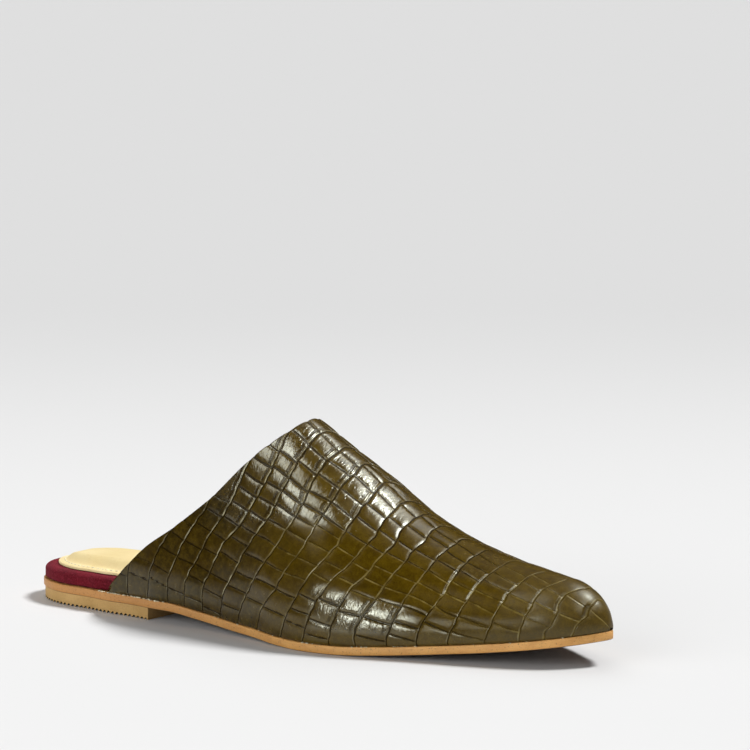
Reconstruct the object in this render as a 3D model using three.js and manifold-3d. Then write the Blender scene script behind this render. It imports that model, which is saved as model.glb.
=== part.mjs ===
// A right-foot babouche slipper: a pointed, backless mule with a tall vamp, standing empty on its sole.
// +X runs from heel to toe, +Y towards the inner (medial) side of the foot, +Z up, in millimetres.
// Shapes are worked out along x, measured from the back of the sole, and the finished group is moved so
// that the origin lies on the floor under the middle of the heel.
import * as THREE from "three";
import { mergeVertices } from "three/addons/utils/BufferGeometryUtils.js";
import Module from "manifold-3d";

const wasm = await Module();
wasm.setup();

// Driving dimensions of the sole.
const LENGTH = 266;
const BALL_WIDTH = 76;
const HEEL_WIDTH = 50;
const SOLE_THICKNESS = 3.3;
const SOLE_BEVEL = 0.5;
const HEEL_LIFT = 4.8;
const HEEL_LIFT_LENGTH = 71;
const TOE_SPRING = 10;
const HEEL_ROUND = 30;
const TOE_ROUND = 9;
const TOE_SWING = 5;

// Driving dimensions of the upper.
const UPPER_WALL = 1.8;
const UPPER_MARGIN = 0.2;
const INSTEP_HEIGHT = 76.9;
const TOE_HEIGHT = 16.2;
const NOSE_ROUND = 18;
const THROAT_AT = 131;
const QUARTER_AT = 48;
const CREST_SHIFT = 6;
const SIDE_BULGE = 1.6;

// Driving dimensions of the footbed and its leather sock.
const FOOTBED_HEEL = 5.3;
const FOOTBED_TOE = 2.6;
const FOOTBED_ROUND = 2.6;
const FOOTBED_REVEAL = 0.6;
const FOOTBED_TOE_ROOM = 9;
const SOCK_THICKNESS = 1;
const SOCK_INSET = 4.5;
const SOCK_BACK = 1;
const SOCK_FRONT = 1.8;
const PAD_HEIGHT = 3.9;
const PAD_ROUND = 26;
const PAD_INSET = 5.5;
const PAD_SLOPE = 5;
const PAD_END = 112;

// Clearance between pieces that meet on a curved face.
const GAP = 0.3;

// How finely the surfaces are divided.
const SOLE_STEPS = 56;
const UPPER_ROWS = 40;
const UPPER_COLUMNS = 32;

// Plan outline: at is a share of LENGTH; outer and inner are shares of the width that rules there,
// HEEL_WIDTH up to the waist and BALL_WIDTH from the ball on.
const OUTLINE = [
  { at: 0.0, outer: 0.46, inner: 0.46 },
  { at: 0.12, outer: 0.465, inner: 0.49 },
  { at: 0.2, outer: 0.52, inner: 0.52 },
  { at: 0.27, outer: 0.52, inner: 0.475 },
  { at: 0.33, outer: 0.475, inner: 0.405 },
  { at: 0.4, outer: 0.435, inner: 0.34 },
  { at: 0.47, outer: 0.45, inner: 0.325 },
  { at: 0.54, outer: 0.515, inner: 0.37 },
  { at: 0.6, outer: 0.545, inner: 0.43 },
  { at: 0.66, outer: 0.52, inner: 0.48 },
  { at: 0.72, outer: 0.455, inner: 0.49 },
  { at: 0.78, outer: 0.39, inner: 0.46 },
  { at: 0.84, outer: 0.335, inner: 0.385 },
  { at: 0.9, outer: 0.275, inner: 0.28 },
  { at: 0.95, outer: 0.2, inner: 0.17 },
  { at: 1.0, outer: 0.09, inner: 0.055 },
];
const WAIST = [0.2, 0.5];

// Underside of the sole: drop is a share of HEEL_LIFT, rise a share of TOE_SPRING.
const UNDERSIDE = [
  { at: 0.0, drop: 1, rise: 0 },
  { at: 0.3, drop: 1, rise: 0 },
  { at: 0.33, drop: 0.9, rise: 0 },
  { at: 0.36, drop: 0.71, rise: 0 },
  { at: 0.42, drop: 0.4, rise: 0 },
  { at: 0.48, drop: 0.21, rise: 0 },
  { at: 0.54, drop: 0.05, rise: 0 },
  { at: 0.57, drop: 0, rise: 0 },
  { at: 0.63, drop: 0, rise: 0 },
  { at: 0.7, drop: 0, rise: 0.08 },
  { at: 0.8, drop: 0, rise: 0.3 },
  { at: 0.9, drop: 0, rise: 0.6 },
  { at: 1.0, drop: 0, rise: 1 },
];

// Crest of the vamp: at is the share of the way from throat to toe tip, and rise the share of the way
// from TOE_HEIGHT up to INSTEP_HEIGHT. flank squares the section's sides; outer and inner
// sharpen the two halves of its top.
const CREST = [
  { at: -0.6, rise: 1.5, flank: 1.0, outer: 1.05, inner: 0.85 },
  { at: 0.0, rise: 1.0, flank: 1.0, outer: 1.05, inner: 0.84 },
  { at: 0.1, rise: 0.875, flank: 1.0, outer: 1.05, inner: 0.85 },
  { at: 0.22, rise: 0.71, flank: 0.98, outer: 1.05, inner: 0.9 },
  { at: 0.36, rise: 0.48, flank: 0.98, outer: 1.05, inner: 1.0 },
  { at: 0.5, rise: 0.31, flank: 0.98, outer: 1.05, inner: 1.05 },
  { at: 0.64, rise: 0.198, flank: 0.95, outer: 1.0, inner: 1.05 },
  { at: 0.78, rise: 0.118, flank: 0.92, outer: 0.98, inner: 1.0 },
  { at: 0.9, rise: 0.048, flank: 0.88, outer: 0.95, inner: 0.95 },
  { at: 1.0, rise: 0.0, flank: 0.85, outer: 0.9, inner: 0.9 },
];

// Topline seen from the side: at is the share of its height, along the share of the way from the
// quarter's foot to the throat.
const TOPLINE = [
  { at: 0.0, along: 0.0 },
  { at: 0.14, along: 0.12 },
  { at: 0.28, along: 0.265 },
  { at: 0.41, along: 0.44 },
  { at: 0.6, along: 0.655 },
  { at: 0.82, along: 0.843 },
  { at: 0.95, along: 0.962 },
  { at: 1.0, along: 1.0 },
];

// A smooth curve through one column of a table: cubic, with slopes limited so that it never overshoots.
function curve(rows, column) {
  const n = rows.length;
  const slopes = [];
  for (let i = 0; i + 1 < n; i++)
    slopes.push(
      (rows[i + 1][column] - rows[i][column]) / (rows[i + 1].at - rows[i].at),
    );
  const tangents = rows.map((row, i) => {
    if (i === 0) return slopes[0];
    if (i === n - 1) return slopes[n - 2];
    const [before, after] = [slopes[i - 1], slopes[i]];
    return before * after <= 0 ? 0 : (2 * before * after) / (before + after);
  });
  return (at) => {
    const x = Math.min(Math.max(at, rows[0].at), rows[n - 1].at);
    let i = 0;
    while (i < n - 2 && x > rows[i + 1].at) i++;
    const span = rows[i + 1].at - rows[i].at;
    const t = (x - rows[i].at) / span;
    const [a, b] = [rows[i][column], rows[i + 1][column]];
    const [da, db] = [tangents[i] * span, tangents[i + 1] * span];
    return (
      a * (2 * t ** 3 - 3 * t ** 2 + 1) +
      da * (t ** 3 - 2 * t ** 2 + t) +
      b * (3 * t ** 2 - 2 * t ** 3) +
      db * (t ** 3 - t ** 2)
    );
  };
}

function smoothstep(from, to, x) {
  const t = Math.min(Math.max((x - from) / (to - from), 0), 1);
  return t * t * (3 - 2 * t);
}

// Closes a width or height over the last radius before an end, as a quarter ellipse does.
function roundEnd(distance, radius) {
  if (distance >= radius) return 1;
  const left = 1 - Math.max(distance, 0) / radius;
  return Math.sqrt(Math.max(0, 1 - left * left));
}

const outerShare = curve(OUTLINE, "outer");
const innerShare = curve(OUTLINE, "inner");
const dropShare = curve(UNDERSIDE, "drop");
const riseShare = curve(UNDERSIDE, "rise");
const crestRise = curve(CREST, "rise");
const crestFlank = curve(CREST, "flank");
const outerPeak = curve(CREST, "outer");
const innerPeak = curve(CREST, "inner");
const toplineAlong = curve(TOPLINE, "along");

// The width that rules at x, and the sideways swing of the centre line towards the toe tip.
function ruleWidth(x) {
  const s = x / LENGTH;
  return HEEL_WIDTH + (BALL_WIDTH - HEEL_WIDTH) * smoothstep(WAIST[0], WAIST[1], s);
}
function swing(x) {
  return TOE_SWING * Math.max(0, (x / LENGTH - 0.5) / 0.5) ** 2;
}

// The edge of the plan outline on one side (-1 outer, +1 inner) at x.
function soleEdge(x, side) {
  const share = side < 0 ? outerShare(x / LENGTH) : innerShare(x / LENGTH);
  const ends = roundEnd(x, HEEL_ROUND) * roundEnd(LENGTH - x, TOE_ROUND);
  return swing(x) + side * ruleWidth(x) * share * ends;
}

function soleBottom(x) {
  const s = x / LENGTH;
  const lifted = x <= HEEL_LIFT_LENGTH ? 1 : dropShare(s);
  return HEEL_LIFT * lifted + TOE_SPRING * riseShare(s);
}
function soleTop(x) {
  return soleBottom(x) + SOLE_THICKNESS;
}

// Stations from one x to another, closer together at the ends, where an outline turns round.
function stations(from, to, steps) {
  const xs = [];
  for (let i = 0; i <= steps; i++) {
    const t = i / steps;
    const eased = 0.5 - 0.5 * Math.cos(Math.PI * t);
    xs.push(from + (to - from) * (0.35 * t + 0.65 * eased));
  }
  return xs;
}

// A closed outline, out along the outer side and back along the inner side, as [x, y] points. edge gives
// y for x and side. Every x but the two tips appears once on each side.
function outlineLoop(xs, edge) {
  const outer = xs.map((x) => [x, edge(x, -1)]);
  const inner = xs.slice(1, -1).map((x) => [x, edge(x, 1)]);
  return [...outer, ...inner.reverse()];
}

// Moves a loop inwards, square to its edge, by a distance that may change along x.
function insetLoop(loop, distance) {
  const n = loop.length;
  return loop.map(([x, y], i) => {
    const [ax, ay] = loop[(i + n - 1) % n];
    const [bx, by] = loop[(i + 1) % n];
    const length = Math.hypot(bx - ax, by - ay);
    const d = typeof distance === "function" ? distance(x) : distance;
    return [x - ((by - ay) / length) * d, y + ((bx - ax) / length) * d];
  });
}

function geometryOf(points, triangles) {
  const geometry = new THREE.BufferGeometry();
  geometry.setAttribute(
    "position",
    new THREE.Float32BufferAttribute(points.flat(), 3),
  );
  geometry.setIndex(triangles);
  return geometry;
}

// A slab from a stack of loops, lowest first. Each ring is {loop, height}, where height(x, y) gives z.
// The lowest and highest rings are closed by strips between their two sides, which share their
// stations; across gives how many strips lie side by side.
function slab(rings, across = 1) {
  const n = rings[0].loop.length;
  const half = n / 2;
  const points = [];
  const triangles = [];
  rings.forEach(({ loop, height }) =>
    loop.forEach(([x, y]) => points.push([x, y, height(x, y)])),
  );
  for (let r = 0; r + 1 < rings.length; r++)
    for (let i = 0; i < n; i++) {
      const [a, b] = [r * n + i, r * n + ((i + 1) % n)];
      triangles.push(a, b, b + n, a, b + n, a + n);
    }
  const cap = (ring, up) => {
    const { loop, height } = rings[ring];
    const base = ring * n;
    // Row i runs from the outer point i to the inner point n - i.
    const rows = [];
    for (let i = 1; i < half; i++) {
      const [outer, inner] = [base + i, base + n - i];
      const row = [outer];
      for (let k = 1; k < across; k++) {
        const t = k / across;
        const x = loop[i][0] * (1 - t) + loop[n - i][0] * t;
        const y = loop[i][1] * (1 - t) + loop[n - i][1] * t;
        row.push(points.push([x, y, height(x, y)]) - 1);
      }
      row.push(inner);
      rows.push(row);
    }
    const face = (a, b, c) =>
      up ? triangles.push(a, b, c) : triangles.push(a, c, b);
    const [heel, toe] = [base, base + half];
    for (let k = 0; k < across; k++) {
      face(heel, rows[0][k], rows[0][k + 1]);
      const last = rows[rows.length - 1];
      face(last[k], toe, last[k + 1]);
      for (let i = 0; i + 1 < rows.length; i++) {
        const [p, q] = [rows[i], rows[i + 1]];
        face(p[k], q[k], q[k + 1]);
        face(p[k], q[k + 1], p[k + 1]);
      }
    }
  };
  cap(0, false);
  cap(rings.length - 1, true);
  return geometryOf(points, triangles);
}

function solidOf(geometry) {
  const bare = geometry.clone();
  bare.deleteAttribute("normal");
  bare.deleteAttribute("uv");
  const merged = mergeVertices(bare, 1e-4);
  return new wasm.Manifold(
    new wasm.Mesh({
      numProp: 3,
      vertProperties: merged.getAttribute("position").array,
      triVerts: new Uint32Array(merged.index.array),
    }),
  );
}
function geometryFrom(solid) {
  const mesh = solid.getMesh();
  const geometry = new THREE.BufferGeometry();
  geometry.setAttribute(
    "position",
    new THREE.BufferAttribute(new Float32Array(mesh.vertProperties), 3),
  );
  geometry.setIndex(new THREE.BufferAttribute(mesh.triVerts, 1));
  return geometry;
}

// Thin leather outsole: its side is upright and its lower corner bevelled.
function outsoleGeometry() {
  const loop = outlineLoop(stations(0, LENGTH, SOLE_STEPS), soleEdge);
  return slab([
    { loop: insetLoop(loop, SOLE_BEVEL), height: soleBottom },
    { loop, height: (x) => soleBottom(x) + SOLE_BEVEL },
    { loop, height: (x) => soleTop(x) - SOLE_BEVEL / 3 },
    { loop: insetLoop(loop, SOLE_BEVEL / 3), height: soleTop },
  ]);
}

// Heel lift: the heel end of the outline under the outsole, cut straight across at its breast.
function heelLiftGeometry() {
  const edge = outlineLoop(stations(0, LENGTH, SOLE_STEPS), soleEdge);
  const loop = insetLoop(edge, SOLE_BEVEL);
  const wall = slab([
    { loop, height: () => 0 },
    { loop, height: () => HEEL_LIFT },
  ]);
  const block = new THREE.BoxGeometry(2 * HEEL_LIFT_LENGTH, 2 * HEEL_WIDTH, 4 * HEEL_LIFT);
  return geometryFrom(solidOf(wall).intersect(solidOf(block)));
}

// The outer face of the upper at x and angle (0 at the outer feather edge, 180 degrees at the inner).
function upperPoint(x, angle) {
  const side = angle < Math.PI / 2 ? -1 : 1;
  const climb = side < 0 ? angle : Math.PI - angle;
  const s = (x - THROAT_AT) / (LENGTH - THROAT_AT);
  const reach = LENGTH - UPPER_MARGIN;
  const squeeze = Math.min(x, reach);
  const middle = (soleEdge(squeeze, -1) + soleEdge(squeeze, 1)) / 2;
  const crest = middle + CREST_SHIFT * (1 - smoothstep(0.1, 0.9, s));
  const foot = soleEdge(squeeze, side) - side * UPPER_MARGIN;
  const rise = TOE_HEIGHT + (INSTEP_HEIGHT - TOE_HEIGHT) * crestRise(s);
  const height = rise * roundEnd(reach - x, NOSE_ROUND);
  const ends = roundEnd(reach - x, 2 * NOSE_ROUND);
  const [c, h] = [Math.max(Math.cos(climb), 0), Math.sin(climb)];
  const out = c ** (side < 0 ? outerPeak(s) : innerPeak(s));
  const up = h ** crestFlank(s);
  const bulge = SIDE_BULGE * ends * Math.sin(Math.PI * Math.sqrt(up)) * out;
  return new THREE.Vector3(
    x,
    crest + (foot - crest) * out + side * bulge,
    soleTop(squeeze) + GAP + height * up,
  );
}

// The topline: seen from the side it rises from the quarter's foot to the throat in a slight S. Each
// angle meets it where the section's height agrees with it.
function toplineAt(z) {
  const foot = soleTop(QUARTER_AT);
  const climbed = (z - foot) / (soleTop(THROAT_AT) + INSTEP_HEIGHT - foot);
  return QUARTER_AT + (THROAT_AT - QUARTER_AT) * toplineAlong(climbed);
}
function topline(angle) {
  let [low, high] = [QUARTER_AT, THROAT_AT];
  for (let i = 0; i < 40; i++) {
    const x = (low + high) / 2;
    if (toplineAt(upperPoint(x, angle).z) > x) low = x;
    else high = x;
  }
  return high;
}

// The upper: one shell of even wall, open at the topline and underneath.
function upperGeometry() {
  const tipAt = LENGTH - UPPER_MARGIN;
  const place = (row, column) => {
    const angle = (Math.PI * column) / UPPER_COLUMNS;
    const t = row / UPPER_ROWS;
    const eased = 0.45 * t + 0.55 * Math.sin((Math.PI / 2) * t);
    const start = topline(angle);
    return upperPoint(start + (tipAt - start) * eased, angle);
  };
  const normalAt = (row, column) => {
    const e = 0.02;
    const down = place(Math.max(row - e, 0), column);
    const up = place(Math.min(row + e, UPPER_ROWS - e), column);
    const left = place(row, Math.max(column - e, 0));
    const right = place(row, Math.min(column + e, UPPER_COLUMNS));
    const normal = new THREE.Vector3().crossVectors(
      up.sub(down),
      right.sub(left),
    );
    const edge = column === 0 || column === UPPER_COLUMNS;
    if (edge) normal.z = 0;
    return normal.normalize();
  };
  const points = [];
  const columns = UPPER_COLUMNS + 1;
  const layer = (wall) => {
    for (let row = 0; row < UPPER_ROWS; row++)
      for (let column = 0; column <= UPPER_COLUMNS; column++) {
        const p = place(row, column);
        if (wall) p.addScaledVector(normalAt(row, column), -wall);
        points.push([p.x, p.y, p.z]);
      }
    const tip = upperPoint(tipAt, 0);
    points.push([tip.x - wall, tip.y, tip.z]);
  };
  layer(0);
  layer(UPPER_WALL);
  const perLayer = UPPER_ROWS * columns + 1;
  const at = (layerIndex, row, column) =>
    layerIndex * perLayer +
    (row === UPPER_ROWS ? perLayer - 1 : row * columns + column);
  const triangles = [];
  const quad = (a, b, c, d) => triangles.push(a, b, c, a, c, d);
  for (let row = 0; row < UPPER_ROWS; row++)
    for (let column = 0; column < UPPER_COLUMNS; column++) {
      const outer = [
        at(0, row, column),
        at(0, row + 1, column),
        at(0, row + 1, column + 1),
        at(0, row, column + 1),
      ];
      const inner = outer.map((i) => i + perLayer);
      if (row + 1 === UPPER_ROWS) {
        triangles.push(outer[0], outer[1], outer[3]);
        triangles.push(inner[0], inner[3], inner[1]);
      } else {
        quad(...outer);
        quad(inner[0], inner[3], inner[2], inner[1]);
      }
    }
  for (let column = 0; column < UPPER_COLUMNS; column++)
    quad(
      at(0, 0, column),
      at(0, 0, column + 1),
      at(1, 0, column + 1),
      at(1, 0, column),
    );
  for (let row = 0; row < UPPER_ROWS; row++) {
    quad(at(0, row, 0), at(1, row, 0), at(1, row + 1, 0), at(0, row + 1, 0));
    const last = UPPER_COLUMNS;
    quad(
      at(0, row, last),
      at(0, row + 1, last),
      at(1, row + 1, last),
      at(1, row, last),
    );
  }
  return geometryOf(points, triangles);
}

// Footbed thickness along the shoe, and the inset of its edge from the sole's edge: nearly flush at the
// open heel, and inside the upper's wall in front of the quarters.
const BED_END = LENGTH - FOOTBED_TOE_ROOM;
function bedTop(x) {
  const full = FOOTBED_TOE + (FOOTBED_HEEL - FOOTBED_TOE) * (1 - smoothstep(0.3, 0.62, x / LENGTH));
  return soleTop(x) + GAP + full;
}
function bedInset(x) {
  const inside = UPPER_MARGIN + UPPER_WALL + GAP;
  return FOOTBED_REVEAL + (inside - FOOTBED_REVEAL) * smoothstep(0.82 * QUARTER_AT, 0.98 * QUARTER_AT, x);
}
function bedLoop(extra) {
  const edge = (x, side) => {
    const t = x / BED_END;
    return soleEdge(x + FOOTBED_TOE_ROOM * smoothstep(0.8, 1, t), side);
  };
  const loop = outlineLoop(stations(0, BED_END, SOLE_STEPS), edge);
  return insetLoop(loop, (x) => bedInset(x) + extra(x));
}

function footbedGeometry() {
  const r = FOOTBED_ROUND;
  const low = (x) => soleTop(x) + GAP;
  const ring = (turn) => ({
    loop: bedLoop(() => r * (1 - Math.cos(turn))),
    height: (x) => bedTop(x) - Math.min(r, FOOTBED_TOE * 0.8) * (1 - Math.sin(turn)),
  });
  return slab([
    { loop: bedLoop(() => 0.8), height: low },
    { loop: bedLoop(() => 0), height: (x) => low(x) + 0.6 },
    ring(0),
    ring(Math.PI / 6),
    ring(Math.PI / 3),
    ring(Math.PI / 2),
  ]);
}

// Height of the heel pad under the sock, from its distance to the sock's sides and back.
function padRise(x, y) {
  const outer = y - soleEdge(Math.max(x, 0.5), -1);
  const inner = soleEdge(Math.max(x, 0.5), 1) - y;
  const edge = Math.min(outer, inner, x) - SOCK_INSET - PAD_INSET;
  const sides = smoothstep(0, PAD_SLOPE, edge);
  const back = roundEnd(x - SOCK_INSET - SOCK_BACK, PAD_ROUND);
  const front = 1 - smoothstep(PAD_END - 3 * PAD_SLOPE, PAD_END, x);
  return PAD_HEIGHT * sides * back * front;
}

function sockGeometry() {
  const inset = (x) => {
    const back = SOCK_BACK * (1 - smoothstep(0, HEEL_ROUND, x));
    const front = smoothstep(QUARTER_AT, 1.5 * QUARTER_AT, x);
    return back + SOCK_INSET + (SOCK_FRONT - SOCK_INSET) * front;
  };
  const low = (x) => bedTop(x) + GAP;
  const high = (x, y) => low(x) + SOCK_THICKNESS + padRise(x, y);
  return slab(
    [
      { loop: bedLoop(inset), height: low },
      { loop: bedLoop(inset), height: high },
    ],
    14,
  );
}

function piece(name, geometry, color, roughness) {
  const material = new THREE.MeshStandardMaterial({
    color,
    roughness,
    metalness: 0,
  });
  const mesh = new THREE.Mesh(geometry, material);
  mesh.name = name;
  return mesh;
}

const slipper = new THREE.Group();
slipper.add(
  piece("outsole", outsoleGeometry(), "#c08a4e", 0.6),
  piece("heel_lift", heelLiftGeometry(), "#c2a468", 0.7),
  piece("footbed", footbedGeometry(), "#6e1f38", 0.9),
  piece("sock", sockGeometry(), "#ead59c", 0.55),
  piece("upper", upperGeometry(), "#4b3f14", 0.35),
);
slipper.children.forEach((mesh) => mesh.geometry.translate(-HEEL_LIFT_LENGTH / 2, 0, 0));

export default slipper;
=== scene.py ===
import math

import bpy
import numpy as np
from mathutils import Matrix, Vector


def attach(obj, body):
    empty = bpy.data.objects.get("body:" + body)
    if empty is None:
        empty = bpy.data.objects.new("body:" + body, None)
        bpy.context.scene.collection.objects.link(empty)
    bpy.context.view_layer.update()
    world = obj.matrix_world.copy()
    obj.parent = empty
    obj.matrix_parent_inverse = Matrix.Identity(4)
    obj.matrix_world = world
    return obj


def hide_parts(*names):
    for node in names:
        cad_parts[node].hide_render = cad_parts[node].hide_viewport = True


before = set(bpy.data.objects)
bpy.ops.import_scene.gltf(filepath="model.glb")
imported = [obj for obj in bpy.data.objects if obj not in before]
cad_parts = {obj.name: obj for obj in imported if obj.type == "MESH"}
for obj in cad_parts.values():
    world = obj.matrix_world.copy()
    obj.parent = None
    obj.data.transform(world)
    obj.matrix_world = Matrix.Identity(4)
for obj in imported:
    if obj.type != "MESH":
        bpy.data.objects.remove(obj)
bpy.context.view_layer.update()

rng = np.random.default_rng(7)

# Sizes in millimetres, the same as the solids', with x counted from the back of the heel
LENGTH = 266.0
BALL_WIDTH = 76.0
HEEL_WIDTH = 50.0
SOLE_THICKNESS = 3.3
SOLE_BEVEL = 0.5
HEEL_LIFT = 4.8
HEEL_LIFT_LENGTH = 71.0
TOE_SPRING = 10.0
HEEL_ROUND = 30.0
TOE_ROUND = 9.0
TOE_SWING = 5.0
WAIST = (0.2, 0.5)
UPPER_WALL = 1.8
UPPER_MARGIN = 0.2
INSTEP_HEIGHT = 76.9
TOE_HEIGHT = 16.2
NOSE_ROUND = 18.0
THROAT_AT = 131.0
QUARTER_AT = 48.0
CREST_SHIFT = 6.0
SIDE_BULGE = 1.6
FOOTBED_HEEL = 5.3
FOOTBED_TOE = 2.6
FOOTBED_ROUND = 2.6
FOOTBED_REVEAL = 0.6
FOOTBED_TOE_ROOM = 9.0
SOCK_THICKNESS = 1.0
SOCK_INSET = 4.5
SOCK_BACK = 1.0
SOCK_FRONT = 1.8
PAD_HEIGHT = 3.9
PAD_ROUND = 26.0
PAD_INSET = 5.5
PAD_SLOPE = 5.0
PAD_END = 112.0
GAP = 0.3
ORIGIN_AT = HEEL_LIFT_LENGTH / 2

# Plan outline: share of the length, then shares of the ruling width outwards and inwards
OUTLINE = [
    (0.0, 0.46, 0.46), (0.12, 0.465, 0.49), (0.2, 0.52, 0.52), (0.27, 0.52, 0.475),
    (0.33, 0.475, 0.405), (0.4, 0.435, 0.34), (0.47, 0.45, 0.325), (0.54, 0.515, 0.37),
    (0.6, 0.545, 0.43), (0.66, 0.52, 0.48), (0.72, 0.455, 0.49), (0.78, 0.39, 0.46),
    (0.84, 0.335, 0.385), (0.9, 0.275, 0.28), (0.95, 0.2, 0.17), (1.0, 0.09, 0.055),
]
# Underside of the sole: share of the length, share of the heel lift, share of the toe spring
UNDERSIDE = [
    (0.0, 1, 0), (0.3, 1, 0), (0.33, 0.9, 0), (0.36, 0.71, 0), (0.42, 0.4, 0), (0.48, 0.21, 0),
    (0.54, 0.05, 0), (0.57, 0, 0), (0.63, 0, 0), (0.7, 0, 0.08), (0.8, 0, 0.3), (0.9, 0, 0.6),
    (1.0, 0, 1),
]
# Crest of the vamp: share of the way from throat to tip, rise, flank, outer and inner sharpness
CREST = [
    (-0.6, 1.5, 1.0, 1.05, 0.85), (0.0, 1.0, 1.0, 1.05, 0.84), (0.1, 0.875, 1.0, 1.05, 0.85),
    (0.22, 0.71, 0.98, 1.05, 0.9), (0.36, 0.48, 0.98, 1.05, 1.0), (0.5, 0.31, 0.98, 1.05, 1.05),
    (0.64, 0.198, 0.95, 1.0, 1.05), (0.78, 0.118, 0.92, 0.98, 1.0), (0.9, 0.048, 0.88, 0.95, 0.95),
    (1.0, 0.0, 0.85, 0.9, 0.9),
]
# Topline from the side: share of its height, share of the way forward
TOPLINE = [
    (0.0, 0.0), (0.14, 0.12), (0.28, 0.265), (0.41, 0.44), (0.6, 0.655), (0.82, 0.843),
    (0.95, 0.962), (1.0, 1.0),
]

# The embossed tiles, charted on the outer side of the upper. Each row of CROSS is one groove
# across the shoe: where it lies, in millimetres from the heel back, at nine shares of the girth from
# the feather edge (0) to the crest (1).
GIRTH_SHARES = (0.0, 0.1, 0.2, 0.3, 0.4, 0.5, 0.65, 0.8, 1.0)
CROSS = [
    (50, 51, 55, 60, 63, 66, 68, 70, 72),
    (60, 61, 66, 72, 75, 78, 80, 82, 84),
    (71, 73.5, 78.5, 86, 90, 93, 95, 97, 99),
    (82, 83, 88, 94, 100, 102, 105, 107, 109),
    (90.5, 91.5, 98, 102.5, 109, 113, 117, 118, 120),
    (100, 101, 106, 111.5, 119, 123.5, 128, 128.5, 128),
    (110, 112, 118, 122.5, 128.5, 134, 137, 138, 138),
    (120, 124, 129, 135, 141, 145, 147, 147, 147),
    (131, 135, 142.5, 147, 152.5, 155, 157, 157.5, 156),
    (146, 149.5, 154, 158, 162.5, 166, 167, 167, 165),
    (157, 160, 163, 167, 172, 174.5, 176, 175, 174),
    (169, 170.5, 173, 176, 180, 181.5, 183, 181.5, 181),
    (180, 180.5, 183.5, 186, 188, 189.5, 190, 190, 188),
    (191, 192.5, 194, 195.5, 197.5, 198.5, 199, 199, 198),
    (202, 203, 205, 207.5, 209, 209, 209, 209, 208),
    (213.5, 215, 217, 218, 219, 219.5, 220.5, 221, 221),
    (227, 228.5, 230, 230.5, 232, 232, 234, 235, 237),
    (240, 241, 241.5, 242, 243, 243, 244, 246.5, 248),
    (248, 249, 250.5, 251.5, 252, 252, 253, 254.5, 256),
    (257, 258, 259, 260, 261, 261, 261, 261, 261),
    (268, 268, 268, 268, 268, 268, 268, 268, 268),
]
# One row for each column of tiles between two cross grooves: how far its lengthwise grooves fall over
# the column, and the shares of the girth they lie at in its middle.
COLUMNS = [
    (-0.02, (0.08, 0.14)),
    (-0.02, (0.08, 0.14)),
    (-0.02, (0.075, 0.125, 0.2, 0.26, 0.32)),
    (-0.01, (0.06, 0.18, 0.25, 0.33, 0.4, 0.47)),
    (-0.01, (0.045, 0.125, 0.175, 0.25, 0.32, 0.4, 0.47, 0.54, 0.605, 0.68, 0.76)),
    (-0.01, (0.02, 0.095, 0.165, 0.26, 0.34, 0.4, 0.47, 0.54, 0.61, 0.68, 0.76, 0.87, 0.96)),
    (-0.01, (0.06, 0.145, 0.215, 0.3, 0.39, 0.47, 0.54, 0.605, 0.675, 0.765, 0.86, 0.95)),
    (-0.005, (0.125, 0.215, 0.3, 0.385, 0.465, 0.535, 0.605, 0.677, 0.77, 0.858, 0.95)),
    (-0.01, (0.11, 0.205, 0.29, 0.375, 0.46, 0.54, 0.595, 0.67, 0.767, 0.872, 0.977)),
    (-0.015, (0.085, 0.145, 0.215, 0.325, 0.4, 0.49, 0.585, 0.68, 0.78, 0.885, 1.0)),
    (-0.02, (0.045, 0.11, 0.22, 0.345, 0.445, 0.57, 0.68, 0.79, 0.935)),
    (-0.02, (0.175, 0.29, 0.38, 0.47, 0.565, 0.675, 0.81, 0.958)),
    (-0.03, (0.05, 0.155, 0.275, 0.355, 0.45, 0.555, 0.67, 0.82, 0.92)),
    (-0.055, (0.06, 0.14, 0.24, 0.315, 0.42, 0.53, 0.64, 0.75, 0.87)),
    (-0.065, (0.14, 0.265, 0.385, 0.5, 0.6, 0.705, 0.85)),
    (-0.085, (0.08, 0.2, 0.33, 0.45, 0.57, 0.68, 0.82)),
    (-0.1, (0.165, 0.335, 0.47, 0.655, 0.8)),
    (-0.09, (0.225, 0.425, 0.65)),
    (-0.1, (0.33, 0.62)),
    (-0.22, (0.5,)),
]


def curve(rows, column):
    """A cubic through one column of a table, with slopes limited so that it never overshoots."""
    at = np.array([row[0] for row in rows], float)
    value = np.array([row[column] for row in rows], float)
    slope = np.diff(value) / np.diff(at)
    tangent = np.concatenate([slope[:1], np.zeros(len(at) - 2), slope[-1:]])
    for i in range(1, len(at) - 1):
        before_i, after_i = slope[i - 1], slope[i]
        if before_i * after_i > 0:
            tangent[i] = 2 * before_i * after_i / (before_i + after_i)

    def value_at(x):
        x = np.clip(x, at[0], at[-1])
        i = np.clip(np.searchsorted(at, x) - 1, 0, len(at) - 2)
        span = at[i + 1] - at[i]
        t = (x - at[i]) / span
        start = value[i] * (2 * t**3 - 3 * t**2 + 1) + tangent[i] * span * (t**3 - 2 * t**2 + t)
        end = value[i + 1] * (3 * t**2 - 2 * t**3) + tangent[i + 1] * span * (t**3 - t**2)
        return start + end

    return value_at


def smoothstep(low, high, x):
    t = np.clip((x - low) / (high - low), 0, 1)
    return t * t * (3 - 2 * t)


def round_end(distance, radius):
    left = np.clip(1 - distance / radius, 0, 1)
    return np.sqrt(1 - left * left)


outer_share = curve(OUTLINE, 1)
inner_share = curve(OUTLINE, 2)
drop_share = curve(UNDERSIDE, 1)
rise_share = curve(UNDERSIDE, 2)
crest_rise = curve(CREST, 1)
crest_flank = curve(CREST, 2)
outer_peak = curve(CREST, 3)
inner_peak = curve(CREST, 4)
topline_along = curve(TOPLINE, 1)


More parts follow.
